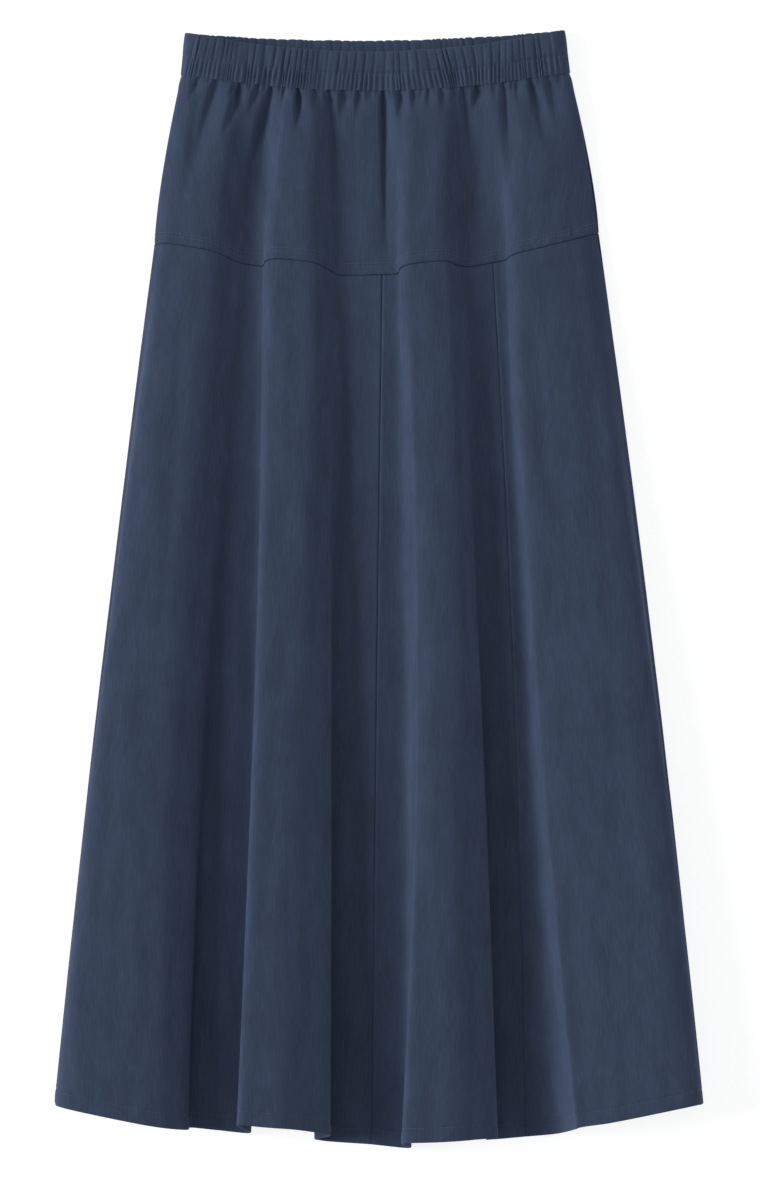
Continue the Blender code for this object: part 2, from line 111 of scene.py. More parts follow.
# The outlines of a ridge, at the side seams and on its two flanks, as shares of the way from its edge to its
# crown and of its height. On the right flank the way is from the crown to the edge.
Flanks = namedtuple("Flanks", "side left right")
LOW_FLANKS = Flanks(((0.22, 0.44), (0.48, 0.72)), ((0.0, 0.56), (0.22, 0.90)), ((0.60, 0.86), (1.0, 0.40)))
FLANKS = {
    "waist": LOW_FLANKS,
    "seam": LOW_FLANKS,
    "knee": Flanks(((0.07, 0.66), (0.26, 0.93)), ((0.0, 0.68), (0.09, 0.95)), ((0.57, 0.91), (1.0, 0.48))),
    "hem": Flanks(((0.04, 0.74), (0.16, 0.97)), ((0.0, 0.78), (0.06, 0.98)), ((0.55, 0.94), (1.0, 0.52))),
}
SIDE_ROUND = 2.4  # how far in and up the cloth turns at a side seam
FOOT_RISE = 1.7  # how high the feet of a ridge lie above the floor of its valley
# X of the back's seams, right to left.
BACK_SEAMS = {"waist": (84, 0, -93), "seam": (104, 0, -110), "knee": (118, 0, -122), "hem": (128, 0, -136)}
END_PULL = 6.0  # how far a section's curve is pulled down at its ends, so that it leaves them upright
GORE_NAMES = ("side_left", "centre_left", "centre_right", "side_right")
GORE_LENGTHS = 4  # solids that one front gore stands for

# ---- Cloth ----
HEM_TURN = 12.5  # depth of the turned hem
HEM_STEP = 1.5  # run over which the wall thickens to the hem
HEM_ROWS = (HEM_STEP, 0.6, 0.0, -0.7, -2.0)  # rows of points beside the hem's edge
FRONT_CLEAR = 0.5  # the least room between the front and the back
LEAST_UPRIGHT = 0.3  # steeper cloth is lifted as if it stood like this
FOLD_EDGE = 1.3  # how far back from a folded edge the cloth rounds off
EDGE_LEFT = 0.2  # share of its thickness that is left at the edge
SEAM_STEPS = (0.0, 0.4, 0.8, 1.3, 2.0, 3.0)  # where the columns and rows lie beside a seam
SHARP_ANGLE = 75  # edges that turn more than this, in degrees, are drawn sharp
GORE_GRAIN = 300  # how far the gores' threads are shifted against the yoke's
# Random hills: how high they are, how wide and long one is, and their seed.
Hills = namedtuple("Hills", "height wide long seed")
HILL_GRID = 160  # the hills repeat after this many
HILL_START = 70
RUMPLES = (Hills(0.32, 46, 210, 11), Hills(0.11, 15, 64, 12), Hills(0.02, 5, 17, 13))
# How deep the cloth is drawn in along a line, and half the width of that dip.
Dip = namedtuple("Dip", "deep wide")

# ---- Waistband ----
# The share of the way down, half the wall, how far the wide gathers and the fine ribs stand out of it, and
# how much of the skirt's folds there is.
BandRow = namedtuple("BandRow", "share half gathers ribs folds")
BAND_ROWS = [BandRow(*row) for row in (
    (0.0, 1.0, 0.70, 0.0, 0.5),
    (0.10, 1.3, 1.10, 0.0, 0.5),
    (0.30, 1.5, 1.30, 0.05, 0.6),
    (0.50, 1.3, 1.10, 0.20, 0.75),
    (0.57, 0.85, 0.60, 0.55, 0.8),
    (0.66, 0.8, 0.45, 0.95, 0.85),
    (0.85, 0.75, 0.40, 1.05, 0.95),
    (1.0, 0.6, 0.30, 0.60, 1.0),
)]
CHANNEL_STITCH = 0.57  # share of the way down where the elastic's channel is stitched off
BAND_DIP = Dip(0.45, 0.9)
BAND_GATHERS = 49
GATHER_SEED = 31
GATHER_UNEVEN = 0.55  # how much wider or narrower a gather may be
GATHER_WEAKEST = 0.35  # share of the deepest crease that the weakest one has
GATHER_CREASE = 0.42  # how wide a crease is, as a share of a gather
GATHER_LEAN = Hills(0.020, 30, 100, 21)  # how far a gather leans, as a share of the width
UPRIGHT_SHARE = 0.3  # share of the way down where none of them leans
GATHER_WAVER = Hills(0.35, 9, 11, 22)  # how much a gather's height varies along it
RIB_POINT = 2.2  # above 1, the fine ribs are narrower than the gaps between them
RIB_SHIFT = 0.6  # turn of the ribs against the gathers, in radians
RIB_LEAST = 0.6  # how high the lowest rib is, as a share of the highest
SMOOTH_END = 0.035  # share of the width over which the gathers grow at both sides
SCALLOPS = {"front": 0.5, "back": 0.9}  # how far the gathers draw the top edge up and down
SCALLOP_MIDDLE = 0.6  # a gather this strong leaves the edge where it is
SCALLOP_FADE = 2.5
BACK_BAND_OUTSIDE = 1.2  # how high the middle of the band's back lies
BACK_BAND_RELIEF = 0.6  # share of the front's relief
BAND_FULLNESS = 1.45  # how much wider the ungathered cloth is
YOKE_FULLNESS = 1.12

# ---- Creases below the waistband ----
# Where a crease leaves the band, its length, how far it leans on its way down, its depth, half its width, and
# the share of that width that its steep left side has.
Crease = namedtuple("Crease", "x length lean depth half_width steep", defaults=(0.4,))
CREASES = [Crease(*row) for row in (
    (-157, 18, -5, 1.7, 2.4),
    (-153, 26, -9, 3.0, 3.3),
    (-138, 100, -25, 3.8, 6.1, 0.45),
    (-122, 20, -6, 2.3, 2.7),
    (-118, 56, -16, 6.2, 3.5),
    (-103, 30, -9, 3.8, 3.3),
    (-91, 128, -33, 4.4, 5.5, 0.45),
    (-80, 18, -2, 2.2, 2.7),
    (-69, 44, 0, 6.2, 3.3),
    (-55, 22, 1, 3.2, 3.1),
    (-43, 84, 3, 4.6, 5.1, 0.45),
    (-31, 32, 0, 4.6, 5.1),
    (-18, 26, 0, 3.7, 3.3),
    (-9, 15, 0, 1.8, 2.4),
    (3, 150, 5, 4.3, 4.2),
    (17, 30, 1, 3.7, 3.3),
    (29, 24, 1, 3.0, 3.3),
    (35, 14, 1, 1.7, 2.2),
    (41, 20, 2, 2.6, 3.3),
    (52, 24, 4, 3.0, 3.3),
    (62, 16, 1, 1.8, 2.4),
    (70, 128, 16, 3.9, 4.8, 0.45),
    (82, 28, 0, 4.6, 4.4),
    (97, 15, 1, 1.8, 2.4),
    (105, 92, 8, 4.1, 4.8, 0.45),
    (112, 18, 2, 2.3, 2.4),
    (116, 24, 3, 3.0, 3.3),
    (127, 66, 17, 4.1, 3.8, 0.45),
    (141, 52, 14, 3.4, 4.6),
    (151, 16, 4, 2.5, 3.1),
)]
CREASE_START = 0.45  # share of its depth that a crease has where it leaves the band
CREASE_TIP = 0.4  # share of its width that it has there
CREASE_PEAK = 7.0  # how far below the band it is deepest
CREASE_SPREAD = 1.2  # how much wider it is at its lower end, as a share of its width
CREASE_STEEP = 0.42  # how much narrower its steep left side is drawn
CREASE_LEAST = 0.5  # the least that half a crease is wide
RIBS_FADE = 5.0  # run over which the band's ribs end in the yoke
PUFF = 0.7  # how far the yoke swells out below the ribs
PUFF_START = 5.0  # how far down this swell is highest
PUFF_FADE = 9.0  # run over which it fades
SMOOTH_SIDE = 3.0  # there are no creases nearer to a side seam than this
WHOLE_SIDE = 12.0  # and from here on they are whole
# The back lies on the table, so its relief is lower and stands upwards. Shares of the front's:
BACK_CREASES = 0.5
BACK_RIBS = 0.3
BACK_EDGE = 0.5
BACK_YOKE_RUMPLE = 0.3
BACK_GORE_RUMPLE = 0.5
BACK_HEM_DIP = 0.5
BACK_GROOVES = 0.8

# ---- Soft folds of the yoke and the gores ----
# Long soft troughs (depth above 0) and swells (below 0): where one starts and ends, its depth, half its
# width, and the share of that width that its left side has.
Trough = namedtuple("Trough", "x y end_x end_y depth half_width steep", defaults=(0.5,))
TROUGHS = [Trough(*row) for row in (
    (-103, 428, -125, 262, 3.0, 17, 0.34),
    (-38, 432, -39, 262, 2.8, 14, 0.34),
    (0, 430, 8, 262, 1.4, 7, 0.7),
    (73, 432, 67, 262, 3.3, 17, 0.32),
    (104, 432, 113, 330, 1.7, 8, 0.25),
    (-150, 432, -164, 330, 1.6, 8, 0.3),
    (176, 400, 190, 262, 1.6, 12, 0.6),
    (-122, 425, -146, 262, -0.9, 12),
    (-58, 432, -62, 262, -1.0, 9),
    (52, 432, 48, 262, -1.0, 10),
    (134, 410, 146, 262, -0.6, 12),
    (-151, 100, -192, -900, 3.0, 14),
    (-54, 100, -72, -900, 3.0, 15),
    (71, 100, 98, -900, 3.0, 15),
    (118, 100, 219, -900, 2.6, 13),
    (30, 160, 34, -330, 3.0, 10),
    (-176, 270, -200, -60, -0.7, 13),
    (-163, 262, -176, 60, 0.6, 6),
    (-214, 40, -244, -380, 0.7, 11),
    (-150, 250, -176, -40, -0.6, 8),
    (-196, -120, -214, -420, -0.8, 12),
    (-84, 262, -92, 40, 0.6, 5),
    (-56, 262, -66, -80, -0.6, 8),
    (-76, -20, -74, -400, 0.7, 9),
    (-25, 252, -34, 60, 0.6, 5),
    (-12, 250, -20, 0, -0.5, 6),
    (-24, -60, -30, -420, 0.5, 7),
    (30, 262, 38, 60, 0.6, 6),
    (45, 262, 62, -60, -0.6, 9),
    (66, -40, 78, -400, 0.7, 9),
    (86, 262, 97, 60, 0.5, 5),
    (126, 268, 142, 80, 0.7, 8),
    (150, 274, 172, 0, -0.8, 11),
    (190, 40, 214, -300, 0.8, 11),
    (214, -60, 246, -400, -0.7, 12),
)]
# The back lies on the table, so its folds are troughs seen from below.
BACK_TROUGHS = [Trough(*row) for row in (
    (-172, 270, -230, -380, 0.9, 9),
    (-70, 262, -86, -430, 1.2, 10),
    (-30, 262, -34, -60, 0.6, 6),
    (48, 262, 62, -430, 1.2, 10),
    (84, 150, 96, -300, 0.7, 7),
    (150, 270, 222, -390, 0.9, 9),
)]
TROUGH_ENDS = 0.8  # below 1, a trough keeps its depth nearer to its ends

# ---- Sewing ----
GROOVES = (0.15, 0.55, 0.4)  # how deep the cloth dips into the three lengthwise seams, left to right
GROOVE_WIDE = 0.6
LIP = 0.13  # how far the cloth beside a seam stands up
LIP_AWAY = 2.2
LIP_WIDE = 1.1
YOKE_EDGE = Dip(-0.5, 6.0)  # the yoke's turned edge stands proud of the gores
YOKE_EDGE_DROP = Dip(1.1, 0.42)
GORE_TOPS = {"front": Dip(0.55, 0.42), "back": Dip(0.5, 0.9)}  # the gores dip below that edge
BAND_STITCHES = ((1 - CHANNEL_STITCH) * BAND_LONG,)
YOKE_STITCHES = (9.5, 6.5)  # how far above the yoke's seam its two rows run
HEM_STITCHES = (12.0,)
YOKE_DIPS = {"front": Dip(0.12, 0.8), "back": Dip(0.15, 0.8)}
HEM_DIP = Dip(0.38, 0.9)
HEM_SWELL = Dip(-0.22, 4.5)  # the turned hem swells out in its middle
HEM_MIDDLE = 6.0
ROPING = Hills(0.4, 4.2, 14, 51)  # slanting ripples along the hem
ROPING_SLANT = 0.8
ROPING_WIDE = 6.0
# Small puckers along a row of stitching: how far down its tier it runs, how high they are, how far they reach
# up and down, and their seed.
Puckers = namedtuple("Puckers", "down height reach seed")
PUCKER_WIDE = 3.2
PUCKER_LONG = 4.0
PUCKER_SHARE = 0.1  # above 0, more than half of the row is puckered
YOKE_PUCKERS = (Puckers(YOKE_LONG - 4.0, 0.42, 4.0, 41), Puckers(YOKE_LONG - 8.0, 0.294, 3.0, 42))
GORE_PUCKERS = (Puckers(GORES_LONG - HEM_STITCHES[0], 0.4, 5.0, 52), Puckers(3.0, 0.2, 4.0, 53))
STITCH_LONG = 2.5
STITCH_APART = 3.3
STITCH_THICK = 0.42
STITCH_SIDES = 6
STITCH_SINK = 0.06  # how deep the middle of the thread lies in the cloth
# Along a stitch: the share of its length and of its thickness, and how far it rises from the holes.
StitchRing = namedtuple("StitchRing", "along thick rise")
STITCH_RINGS = [StitchRing(*row) for row in ((0, 0.5, -0.4), (0.16, 1, 0.1), (0.84, 1, 0.1), (1, 0.5, -0.4))]

# ---- Threads of the cloth ----
# Marks in the weave: how wide and long one is in metres, its detail, where its noise starts, and the range of
# the noise that is spread over a range of shades.
Marks = namedtuple("Marks", "wide long detail start low high least most")
CLOTH_MARKS = (
    Marks(0.0014, 0.020, 2.0, 3.1, 0.54, 0.76, 0.0, 0.24),  # slubs of the warp
    Marks(0.013, 0.0013, 2.0, 7.7, 0.60, 0.80, 0.0, 0.12),  # slubs of the weft
    Marks(0.0013, 0.0110, 1.0, 11.3, 0.3, 0.7, -0.08, 0.08),  # heather
    Marks(0.014, 0.060, 3.0, 5.9, 0.3, 0.7, -0.13, 0.13),  # mottle
)
ONE_WAVE = 0.314  # the wave texture's scale at which one band is one unit wide
CLOTH_TONE = 0.45  # where the plain cloth lies between its dark and light shades
PLY_SHADES = (0.75, 1.25)  # the sewing thread's darkest and lightest shades, as shares of its colour

# ---- Light and camera ----
# Two soft strip lights, low on either side of the table: the share of the light that each gives, the way it
# stands, anticlockwise from the right, and how high above the table, in degrees.
StripLight = namedtuple("StripLight", "name share turn rise")
STRIP_LIGHTS = (StripLight("left_strip", 0.84, 172, 21), StripLight("right_strip", 0.16, 8, 21))
STRIP_SPREAD = 20  # degrees that a strip's glow takes up
CAMERA_AT = (0.85, -9.35)  # millimetres from the origin, in X and Y
SENSOR = 36  # width of the camera's sensor in millimetres
CAMERA_REACH = 60  # metres

# ---- How finely the panels are divided, in millimetres ----
Pitch = namedtuple("Pitch", "across down")
BAND_PITCH = {"front": Pitch(0.52, 1.2), "back": Pitch(1.0, 1.8)}
YOKE_PITCH = {"front": Pitch(1.0, 1.7), "back": Pitch(2.2, 2.8)}
GORE_PITCH = {"front": Pitch(2.0, 3.6), "back": Pitch(3.4, 6.0)}
SAMPLES = 40  # points between two stations for measuring a length


# ---- Reading the tables between their levels ----
def blend(first, second, share):
    """A share of the way between two rows of numbers."""
    return np.asarray(first, float) * (1 - share) + np.asarray(second, float) * share


def along_band(table, share):
    """Rows of a table at a share of the way down the waistband, which keeps the folds of the waist."""
    return blend(table.get("top", table["waist"]), table["waist"], share)


def along_yoke(table, share):
    """Rows of a table at a share of the way from the waist to the yoke seam."""
    return blend(table["waist"], table["seam"], 1 - (1 - share) ** HIP_EASE)


def along_gores(table, share):
    """Rows of a table at a share of the way from the yoke seam to the hem, on a parabola through the knee."""
    seam, knee, hem = (np.asarray(table[name], float) for name in ("seam", "knee", "hem"))
    return (seam * (1 - 2 * share) + knee * 4 * share) * (1 - share) + hem * share * (2 * share - 1)


# A tier of the skirt: how the tables are read along it, and the levels at its ends.
Tier = namedtuple("Tier", "along upper lower")
BAND = Tier(along_band, LEVELS["top"], LEVELS["waist"])
YOKE = Tier(along_yoke, LEVELS["waist"], LEVELS["seam"])
GORES = Tier(along_gores, LEVELS["seam"], LEVELS["hem"])


def straight_y(x, level, share, tier, back=False):
    """Y of a section at each x. A level is a sagging line between its two sides, and every point of a tier
    runs straight from its upper level to its lower one."""
    across = (x - level.left) / (level.right - level.left)
    ends = []
    for bound in (tier.upper, tier.lower):
        sag = bound.back_sag if back else bound.sag
        ends.append(blend(bound.left_y, bound.right_y, across) - 4 * sag * across * (1 - across))
    return blend(*ends, share)


# ---- Sections of the front and the back ----
def side_stations(side_x, inward, level, ridge, crown_z, flank):
    """The stations from a side seam up to the crown of the outer ridge beside it."""
    turned_z = level.side_z + SIDE_ROUND
    rows = [(side_x, level.side_z, 0), (side_x + inward * SIDE_ROUND, turned_z, 0)]
    for share, rise in flank:
        z = turned_z + rise * (crown_z - turned_z)
        rows.append((side_x + share * (ridge.crown - side_x), z, ridge.lift * rise))
    return rows


def front_stations(ridges, valleys, flanks, level, folds):
    """The stations of one section, left to right: x, z and lift, and the numbers of those at its three seams.
    folds is the share of their height that the folds have."""
    floor, foot = level.floor_z, FOOT_RISE * folds
    rows, seams = [], []
    last = len(ridges) - 1
    for number, ridge in enumerate(Ridge(*row) for row in ridges):
        height = ridge.height * folds
        if number == 0:
            rows += side_stations(level.left, 1, level, ridge, floor + height, flanks.side)
        else:
            valley = Valley(*valleys[number - 1])
            if number == 1:
                seams.append(len(rows))
            lift = valley.lift - valley.tilt
            rows.append((ridge.foot_left, floor + foot + valley.rise, lift))
            for share, rise in flanks.left:
                x = ridge.left + share * (ridge.crown - ridge.left)
                z = floor + valley.rise * (1 - share) + rise * height
                rows.append((x, z, lift + (ridge.lift - lift) * rise))
        rows.append((ridge.crown, floor + height, ridge.lift))
        if number == last:
            rows += side_stations(level.right, -1, level, ridge, floor + height, flanks.side)[::-1]
        else:
            valley = Valley(*valleys[number])
            lift = valley.lift + valley.tilt
            for share, rise in flanks.right:
                x = ridge.crown + share * (ridge.right - ridge.crown)
                rows.append((x, floor + rise * height, lift + (ridge.lift - lift) * rise))
            rows.append((ridge.foot_right, floor + foot, lift))
            if number:
                seams.append(len(rows))
            rows.append((valley.x, floor + valley.rise, valley.lift))
    return np.array(rows), seams


def front_rows(tier, shares, folds):
    """The stations of every row of the front, and the numbers of the stations at its seams."""
    grid = []
    for share, fold in zip(shares, np.broadcast_to(folds, shares.shape)):
        level, flanks = Level(*tier.along(LEVELS, share)), Flanks(*tier.along(FLANKS, share))
        ridges, valleys = tier.along(RIDGES, share), tier.along(VALLEYS, share)
        rows, seams = front_stations(ridges, valleys, flanks, level, fold)
        y = straight_y(rows[:, 0], level, share, tier) + rows[:, 2]
        grid.append(np.column_stack([rows[:, 0], y, rows[:, 1]]))
    return np.array(grid), seams


def curve_at(stations, places):
    """Points of the smooth curves through the stations of each row, at fractional station numbers."""
    below = np.array([0.0, 0.0, END_PULL])
    run = np.concatenate([stations[:, :1] - below, stations, stations[:, -1:] - below], axis=1)
    first = np.minimum(places.astype(int), stations.shape[1] - 2)
    a, b, c, d = (run[:, first + step] for step in range(4))
    gaps = [np.linalg.norm(q - p, axis=2, keepdims=True) ** 0.5 + 1e-9 for p, q in ((a, b), (b, c), (c, d))]
    k0, k1, k2, k3 = np.cumsum([0 * gaps[0], *gaps], axis=0)
    t = k1 + (k2 - k1) * (places - first)[None, :, None]

    def between(p, q, start, end):
        return (q * (t - start) + p * (end - t)) / (end - start)

    ab, bc, cd = between(a, b, k0, k1), between(b, c, k1, k2), between(c, d, k2, k3)
    return between(between(ab, bc, k0, k2), between(bc, cd, k1, k3), k1, k2)


def back_rows(tier, shares, rest):
    """Every row of the back, right to left, as points, and the point numbers of its seams. It rests on the
    table and turns up to the side seams at both ends."""
    arc_steps, parts = 8, 24
    turn = np.linspace(0, np.pi / 2, arc_steps + 1)[:-1]
    grid = []
    for share in shares:
        level = Level(*tier.along(LEVELS, share))
        radius = level.side_z - rest
        marks = [level.right - radius, *tier.along(BACK_SEAMS, share), level.left + radius]
        stretches = [np.linspace(a, b, parts, endpoint=False) for a, b in zip(marks, marks[1:])]
        flat = np.concatenate([*stretches, marks[-1:]])
        inward, turn_z = radius * (1 - np.cos(turn)), level.side_z - radius * np.sin(turn)
        x = np.concatenate([level.right - inward, flat, (level.left + inward)[::-1]])
        z = np.concatenate([turn_z, np.full(len(flat), rest), turn_z[::-1]])
        grid.append(np.column_stack([x, straight_y(x, level, share, tier, back=True), z]))
    return np.array(grid), [arc_steps + parts * number for number in range(1, 4)]


def line_at(points, places):
    """Points of each row's straight stretches, at fractional point numbers."""
    first = np.minimum(places.astype(int), points.shape[1] - 2)
    share = (places - first)[None, :, None]
    return points[:, first] * (1 - share) + points[:, first + 1] * share


def arc_length(points):
    """How far along each row its points lie."""
    steps = np.linalg.norm(np.diff(points, axis=1), axis=2)
    return np.pad(np.cumsum(steps, axis=1), ((0, 0), (1, 0)))


def graded(length, pitch):
    """Places from 0 to length, close together beside the seams at both ends."""
    near = np.array(SEAM_STEPS)
    count = max(2, round((length - 2 * near[-1]) / pitch) + 1)
    middle = np.linspace(near[-1], length - near[-1], count)
    return np.concatenate([near[:-1], middle, length - near[-2::-1]])


def columns_between(points_at, points, bounds, pitch):
    """Fractional numbers of a half's columns, graded by arc length from each seam in bounds to the next, and
    the columns of the seams. They are measured on the last row, the widest one."""
    fine = np.linspace(bounds[0], bounds[-1], SAMPLES * (bounds[-1] - bounds[0]) + 1)
    run = arc_length(points_at(points[-1:], fine))[0]
    places, seams = [], [0]
    for first, last in zip(bounds, bounds[1:]):
        start, end = np.interp([first, last], fine, run)
        stretch = np.interp(start + graded(end - start, pitch), run, fine)
        places.append(stretch[:-1])
        seams.append(seams[-1] + len(stretch) - 1)
    return np.concatenate([*places, [bounds[-1]]]), seams


def ring_normals(front, back):
    """Outward unit normals of a tube, whose front and back are grids of rows that share their side points."""
    ring = np.concatenate([front, back[:, 1:-1]], axis=1)
    around = np.roll(ring, -1, axis=1) - np.roll(ring, 1, axis=1)
    down = np.gradient(ring, axis=0)
    normals = np.cross(down, around)
    normals[0, :, 1] = normals[-1, :, 1] = 0
    normals /= np.linalg.norm(normals, axis=2, keepdims=True)
    split = front.shape[1]
    return normals[:, :split], np.concatenate([normals[:, split - 1 :], normals[:, :1]], axis=1)


def half_tube(side, tier, shares, folds, rest, pitch):
    """The smooth front or back of a tier: its grid, its outward normals and the columns of its seams, the
    sides among them. rest is how high the middle of the back's wall lies."""
    halves = []
    for points_at, (rows, marks) in (
        (curve_at, front_rows(tier, shares, folds)),
        (line_at, back_rows(tier, shares, rest)),
    ):
        places, seams = columns_between(points_at, rows, [0, *marks, rows.shape[1] - 1], pitch)
        halves.append((points_at(rows, places), seams))
    at = ("front", "back").index(side)
    return halves[at][0], ring_normals(halves[0][0], halves[1][0])[at], halves[at][1]


# ---- Relief of the cloth ----
def bell(distance, width):
    """A soft bump of height 1."""
    return np.exp(-((distance / width) ** 2))


def dipped(distance, dip):
    """Relief of the cloth beside a line along which it is drawn in."""
    return -dip.deep * bell(distance, dip.wide)


def spline_weights(t):
    """How much each of four neighbours counts at t between the middle two."""
    middle = (3 * t**3 - 6 * t**2 + 4) / 6, (3 * t + 3 * t**2 - 3 * t**3 + 1) / 6
    return (1 - t) ** 3 / 6, *middle, t**3 / 6


def hills(u, v, layer):
    """Smooth random hills between about -1 and 1, as wide and long as the layer says, the same each time."""
    grid = np.random.default_rng(layer.seed).uniform(-1, 1, (HILL_GRID, HILL_GRID))
    u, v = u / layer.wide + HILL_START, v / layer.long + HILL_START
    i, j = np.floor(v).astype(int), np.floor(u).astype(int)
    total = np.zeros_like(u)
    for a, down in enumerate(spline_weights(v - i)):
        for b, across in enumerate(spline_weights(u - j)):
            total += down * across * grid[(i + a) % HILL_GRID, (j + b) % HILL_GRID]
    return total * 2


def rumple(u, v, share):
    """All layers of rumple together."""
    return share * sum(layer.height * hills(u, v, layer) for layer in RUMPLES)


def puckers(u, down, rows):
    """Small uneven bumps along rows of stitching."""
    relief = np.zeros_like(u)
    for row in rows:
        bumps = hills(u, down, Hills(1, PUCKER_WIDE, PUCKER_LONG, row.seed)) + PUCKER_SHARE
        relief += row.height * np.clip(bumps, 0, 1) * bell(down - row.down, row.reach)
    return relief


def inland(grid):
    """How much of a crease is left at each point. There are none at the side seams."""
    x = grid[..., 0]
    from_sides = np.minimum(np.abs(x - x[:, :1]), np.abs(x - x[:, -1:]))
    return np.clip((from_sides - SMOOTH_SIDE) / (WHOLE_SIDE - SMOOTH_SIDE), 0, 1)


def kept_clear(points, normals, relief, clear):
    """Relief that keeps the front this clear of the table, so that no trough goes through the back."""
    lowest = np.minimum((clear - points[..., 2]) / np.maximum(normals[..., 2], LEAST_UPRIGHT), 0)
    return np.where(inland(points) > 0, np.maximum(relief, lowest), relief)


def crease_depth(x, run):
    """How deep the creases below the waistband are at x, run millimetres below it."""
    depth = np.zeros_like(x)
    start = np.clip(run / CREASE_PEAK, 0, 1)
    opening = CREASE_START + (1 - CREASE_START) * start
    tip = CREASE_TIP + (1 - CREASE_TIP) * start
    for crease in CREASES:
        along = np.clip(run / crease.length, 0, 1)
        fading = np.cos(np.pi / 2 * along) ** 2
        off = x - crease.x - crease.lean * along
        width = crease.half_width * tip * (1 + CREASE_SPREAD * along)
        width = width * np.where(off < 0, 2 * crease.steep * CREASE_STEEP, 2 * (1 - crease.steep))
        depth += crease.depth * opening * fading * bell(off, width + CREASE_LEAST)
    return depth


def trough_depth(grid, troughs):
    """How deep the long soft folds are at each point."""
    x, y = grid[..., 0], grid[..., 1]
    depth = np.zeros_like(x)
    for trough in troughs:
        along = (y - trough.y) / (trough.end_y - trough.y)
        centre = trough.x + (trough.end_x - trough.x) * along
        fade = np.sin(np.pi * np.clip(along, 0, 1)) ** TROUGH_ENDS
        width = trough.half_width * np.where(x < centre, 2 * trough.steep, 2 * (1 - trough.steep))
        depth += trough.depth * fade * bell(x - centre, width)
    return depth


def seam_grooves(grid, seams):
    """Relief where lengthwise seams draw the cloth in."""
    run = arc_length(grid)
    relief = np.zeros(grid.shape[:2])
    for seam, groove in zip(seams[1:-1], GROOVES):
        distance = np.abs(run - run[:, seam : seam + 1])
        relief += LIP * bell(distance - LIP_AWAY, LIP_WIDE) - groove * bell(distance, GROOVE_WIDE)
    return relief


def uneven_turns(places):
    """How many unevenly wide gathers lie before each place, from 0 to 1, and how strong the crease nearest to
    it is."""
    random = np.random.default_rng(GATHER_SEED)
    wide = 1 + GATHER_UNEVEN * random.uniform(-1, 1, BAND_GATHERS)
    marks = np.concatenate([[0], np.cumsum(wide)]) / wide.sum()
    turns = np.interp(places, marks, np.arange(BAND_GATHERS + 1))
    strengths = random.uniform(GATHER_WEAKEST, 1.0, BAND_GATHERS + 1)
    return turns, strengths[np.clip(turns + 0.5, 0, BAND_GATHERS).astype(int)]


def gathered(run, down, share):
    """How much of the band's wide gathers and of its fine ribs there is at each point."""
    lean = GATHER_LEAN.height * hills(run, down * 0, GATHER_LEAN) * (share - UPRIGHT_SHARE)
    across = np.clip(run / run[:, -1:] + lean, 0, 1)
    turns, strengths = uneven_turns(across)
    whole = np.clip(np.minimum(across, 1 - across) / SMOOTH_END, 0, 1)
    whole = whole * (1 + GATHER_WAVER.height * hills(run, down, GATHER_WAVER))
    wide = 1 - strengths * bell(np.sin(np.pi * turns), GATHER_CREASE)
    heights = RIB_LEAST + (1 - RIB_LEAST) * strengths
    return wide * whole, np.abs(np.sin(2 * np.pi * turns + RIB_SHIFT)) ** RIB_POINT * heights * whole


def rounded(from_edge, half):
    """Half the wall, this far from an edge that is folded round."""
    back = np.clip(from_edge / FOLD_EDGE, 0, 1)
    return half * np.sqrt(np.clip(1 - (1 - back) ** 2, EDGE_LEFT**2, 1))


# ---- Shells of cloth ----
# The outer face of each finished tier: its points, its normals and how far its rows lie above the lower edge.
Surface = namedtuple("Surface", "points normals heights")
SURFACES = {}


def placed(name, data):
    """A new object in the scene."""
    thing = bpy.data.objects.new(name, data)
    bpy.context.scene.collection.objects.link(thing)
    return thing


def sewn(name, points, faces, material):
    """A new smooth piece of the skirt, from points in millimetres."""
    mesh = bpy.data.meshes.new(name)
    mesh.from_pydata((points * MM).tolist(), [], faces)
    mesh.shade_smooth()
    mesh.materials.append(material)
    piece = placed(name, mesh)
    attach(piece, "root")
    return piece


def wall_faces(name, side, points, normals, heights, outside, inside):
    """Outer and inner faces of a tier's wall, from how far each stands out of the smooth points. The outer
    one stays above the table, and is noted down for the stitching."""
    outer, inner = (points + normals * face[..., None] for face in (outside, inside))
    if side == "back":
        outer[..., 2] = np.maximum(outer[..., 2], 0)
    SURFACES[name, side] = Surface(outer, normals, heights)
    return outer, inner


def panel(name, nodes, outer, inner, grain, cut, held, settings):
    """A closed piece of cloth from the grids of its outer and inner faces, which stands for some nodes. grain
    is the place of each point in the flat cloth. cut, the width, length and area it was made from, is not
    used."""
    rows, columns = outer.shape[:2]
    count = rows * columns
    number = np.arange(count).reshape(rows, columns)
    skin = np.stack([number[:-1, :-1], number[1:, :-1], number[1:, 1:], number[:-1, 1:]], axis=-1)
    skin = skin.reshape(-1, 4)
    border = np.concatenate([number[0], number[1:, -1], number[-1, -2::-1], number[-2:0:-1, 0]])
    following = np.roll(border, -1)
    rim = np.stack([border, following, following + count, border + count], axis=-1)
    faces = np.concatenate([skin, skin[:, ::-1] + count, rim])
    points = np.concatenate([outer.reshape(-1, 3), inner.reshape(-1, 3)])
    piece = sewn(name, points, faces.tolist(), cloth_of(settings))
    flat = np.tile(grain.reshape(-1, 2) * MM, (2, 1))[faces.reshape(-1)]
    piece.data.uv_layers.new(name="Grain").data.foreach_set("uv", flat.astype(np.float32).ravel())
    piece.data.set_sharp_from_angle(angle=np.radians(SHARP_ANGLE))
    piece.data.update()
    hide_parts(*nodes)


